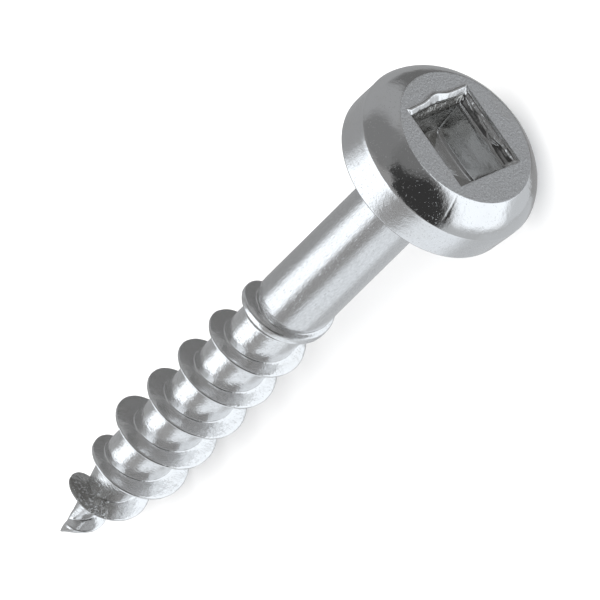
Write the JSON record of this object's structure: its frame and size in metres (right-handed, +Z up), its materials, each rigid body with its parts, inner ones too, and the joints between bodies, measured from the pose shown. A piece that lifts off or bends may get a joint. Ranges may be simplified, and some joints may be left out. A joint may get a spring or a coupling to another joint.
{
  "type": "pocket hole screw",
  "caption": "Short wood screw with a flat-topped pan head, a square recess, a plain shank and a coarse thread that runs out to a gimlet point.",
  "frame": {"origin": "on the surface that the screw lies on, below the middle of its box", "axes": "+X along the screw towards its head, as seen from above; +Z up, away from the surface. The screw's own axis rises 5.1 degrees from the point to the head, because it lies on the widest ring of its head and on one crest of its thread"},
  "size_m": [0.0282, 0.0076, 0.0076],
  "materials": {
    "zinc_plated_steel": "bright zinc plating over rolled and cold-headed steel, with a matt flat on top of the head"
  },
  "bodies": {
    "root": {"screw": "zinc_plated_steel"}
  },
  "joints": []
}
